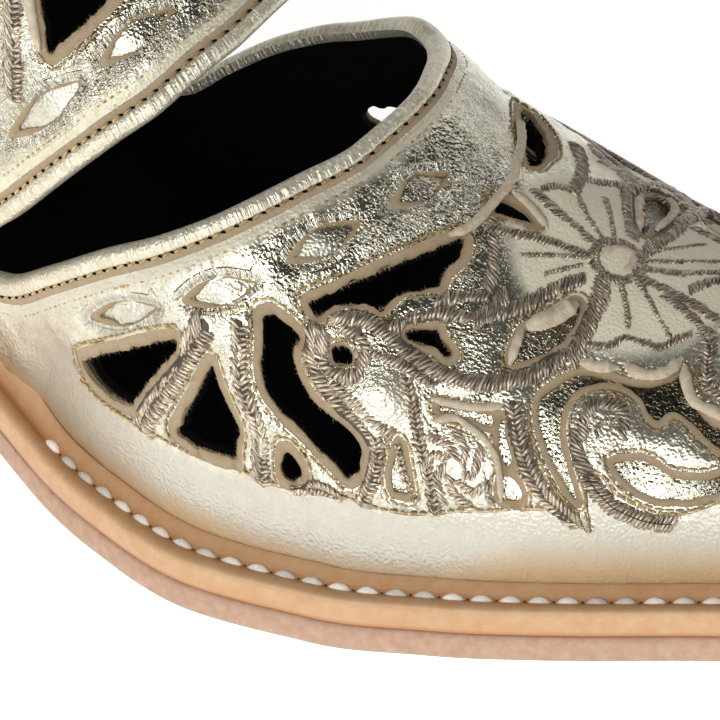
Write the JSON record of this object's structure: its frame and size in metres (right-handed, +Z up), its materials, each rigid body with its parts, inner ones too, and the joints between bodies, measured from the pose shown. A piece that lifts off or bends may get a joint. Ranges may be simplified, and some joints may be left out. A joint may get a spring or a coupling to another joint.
{
  "type": "western slingback mule shoe (right)",
  "caption": "Right western slingback mule with cut-out embroidered metallic leather vamp, open instep band, welted leather sole and stacked heel.",
  "frame": {"origin": "centre of the bounding box in plan, at floor level under the sole", "axes": "+X towards the toe, +Y towards the inner (medial) side, +Z up"},
  "size_m": [0.2755, 0.0848, 0.1049],
  "materials": {
    "gold_foil_leather": "crackled metallic foil",
    "black_lining_leather": "matt",
    "natural_sole_leather": "cut edge, waxed",
    "natural_welt_leather": "smooth, waxed",
    "stacked_heel_leather": "stacked layers, waxed",
    "heel_rubber": "matt"
  },
  "bodies": {
    "root": {"upper": "gold_foil_leather", "insole": "black_lining_leather", "welt": "natural_welt_leather", "outsole": "natural_sole_leather", "heel": "stacked_heel_leather", "top_lift": "heel_rubber"}
  },
  "joints": []
}
